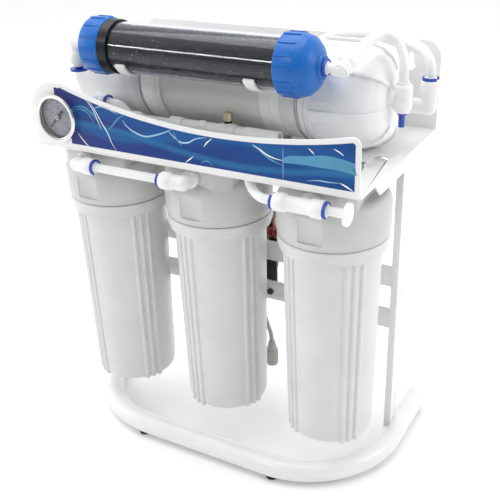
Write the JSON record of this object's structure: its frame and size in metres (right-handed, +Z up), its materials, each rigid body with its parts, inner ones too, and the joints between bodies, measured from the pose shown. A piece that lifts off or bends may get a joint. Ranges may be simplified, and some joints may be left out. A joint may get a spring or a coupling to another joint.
{
  "type": "reverse osmosis unit",
  "caption": "Bench reverse osmosis unit: filter housings, membrane, in-line carbon filter, pump, gauge and push-fit tubing on a bent-tube stand.",
  "frame": {"origin": "middle of the bounding box in X and Y, on the underside of the rubber pads", "axes": "+X to the unit's right seen from the front, -Y the nameplate side, +Z up"},
  "size_m": [0.4235, 0.237, 0.5092],
  "materials": {
    "white_powder_coat": "satin powder coat",
    "rubber_pad": "matte",
    "blue_label": "gloss printed film",
    "housing_plastic": "semi-gloss moulded",
    "sediment_media": "wound fibre",
    "carbon_block": "matte",
    "black_seal": "satin",
    "zinc_steel": "zinc plated",
    "membrane_wrap": "wound sheet",
    "clear_shell": "clear plastic",
    "black_granules": "granular",
    "blue_cap": "satin moulded",
    "clip_plastic": "satin moulded",
    "gauge_steel": "polished",
    "gauge_face": "printed",
    "needle_black": "matte",
    "gauge_glass": "clear",
    "fitting_plastic": "semi-gloss moulded",
    "clip_blue": "gloss moulded",
    "tube_plastic": "satin extruded",
    "motor_steel": "semi-gloss paint",
    "pump_plastic": "matte moulded",
    "rotor_steel": "ground",
    "switch_red": "moulded",
    "lead_grey": "satin",
    "brass": "machined"
  },
  "bodies": {
    "frame": {"base_ring": "white_powder_coat", "ring_plugs": "fitting_plastic", "rubber_pads": "rubber_pad", "leg_left": "white_powder_coat", "leg_right": "white_powder_coat", "crossbars": "white_powder_coat", "shelf": "white_powder_coat", "back_plate": "white_powder_coat", "nameplate": "white_powder_coat", "nameplate_label": "blue_label", "head_left": "housing_plastic", "head_middle": "housing_plastic", "head_right": "housing_plastic", "housing_orings": "black_seal", "head_screws": "zinc_steel", "membrane_housing": "housing_plastic", "membrane_cap": "housing_plastic", "membrane_element": "membrane_wrap", "membrane_saddles": "housing_plastic", "inline_shell": "clear_shell", "inline_cap_left": "blue_cap", "inline_cap_right": "blue_cap", "inline_media": "black_granules", "filter_clips": "clip_plastic", "gauge_case": "gauge_steel", "gauge_bezel": "gauge_steel", "gauge_dial": "gauge_face", "gauge_lens": "gauge_glass", "gauge_elbow": "fitting_plastic", "head_elbows": "fitting_plastic", "inlet_tee": "fitting_plastic", "membrane_tee": "fitting_plastic", "membrane_elbows": "fitting_plastic", "inline_fittings": "fitting_plastic", "locking_clips": "clip_blue", "tube_links": "tube_plastic", "tube_gauge": "tube_plastic", "tube_pump_in": "tube_plastic", "tube_pump_out": "tube_plastic", "tube_reject": "tube_plastic", "tube_product": "tube_plastic", "pump_motor": "motor_steel", "pump_head": "pump_plastic", "pump_bracket": "motor_steel", "pump_switch": "switch_red", "pump_lead": "lead_grey", "lead_connector": "lead_grey", "flush_valve": "fitting_plastic"},
    "cartridge_left": {"cartridge_left": "sediment_media"},
    "sump_left": {"sump_left": "housing_plastic"},
    "cartridge_middle": {"cartridge_middle": "carbon_block"},
    "sump_middle": {"sump_middle": "housing_plastic"},
    "cartridge_right": {"cartridge_right": "carbon_block"},
    "sump_right": {"sump_right": "housing_plastic"},
    "gauge_needle": {"gauge_needle": "needle_black"},
    "inlet_plug": {"inlet_plug": "fitting_plastic"},
    "product_plug": {"product_plug": "clip_blue"},
    "tee_plug": {"tee_plug": "clip_blue"},
    "pump_rotor": {"pump_rotor": "rotor_steel"},
    "valve_stem": {"valve_stem": "brass"}
  },
  "joints": [
    {"name": "sump_left_drop", "type": "slide", "parent": "frame", "child": "cartridge_left", "axis": [0, 0, -1], "range_m": [0, 0.0127]},
    {"name": "sump_left_turn", "type": "hinge", "parent": "cartridge_left", "child": "sump_left", "pos_m": [-0.138, -0.04, 0.2], "axis": [0, 0, -1], "range_deg": [0, 1440]},
    {"name": "sump_middle_drop", "type": "slide", "parent": "frame", "child": "cartridge_middle", "axis": [0, 0, -1], "range_m": [0, 0.0127]},
    {"name": "sump_middle_turn", "type": "hinge", "parent": "cartridge_middle", "child": "sump_middle", "pos_m": [0, -0.04, 0.2], "axis": [0, 0, -1], "range_deg": [0, 1440]},
    {"name": "sump_right_drop", "type": "slide", "parent": "frame", "child": "cartridge_right", "axis": [0, 0, -1], "range_m": [0, 0.0127]},
    {"name": "sump_right_turn", "type": "hinge", "parent": "cartridge_right", "child": "sump_right", "pos_m": [0.138, -0.04, 0.2], "axis": [0, 0, -1], "range_deg": [0, 1440]},
    {"name": "needle_swing", "type": "hinge", "parent": "frame", "child": "gauge_needle", "pos_m": [-0.155, -0.112, 0.41], "axis": [0, 1, 0], "range_deg": [0, 270], "stiffness_Nm_per_rad": 0.0002, "springref_deg": -17.19},
    {"name": "inlet_plug_pull", "type": "slide", "parent": "frame", "child": "inlet_plug", "axis": [1, 0, 0], "range_m": [0, 0.025]},
    {"name": "product_plug_pull", "type": "slide", "parent": "frame", "child": "product_plug", "axis": [0, 0, -1], "range_m": [0, 0.022]},
    {"name": "tee_plug_pull", "type": "slide", "parent": "frame", "child": "tee_plug", "axis": [0, 0, -1], "range_m": [0, 0.025]},
    {"name": "pump_spin", "type": "hinge", "parent": "frame", "child": "pump_rotor", "pos_m": [-0.024, 0.062, 0.2], "axis": [0, 0, 1], "continuous": true},
    {"name": "valve_turn", "type": "hinge", "parent": "frame", "child": "valve_stem", "pos_m": [0.01, -0.031, 0.4], "axis": [0, 0, 1], "range_deg": [0, 90]}
  ],
  "couplings": [
    {"joint": "sump_left_drop", "follows": "sump_left_turn", "m_per_rad": 0.00050532},
    {"joint": "sump_middle_drop", "follows": "sump_middle_turn", "m_per_rad": 0.00050532},
    {"joint": "sump_right_drop", "follows": "sump_right_turn", "m_per_rad": 0.00050532}
  ]
}
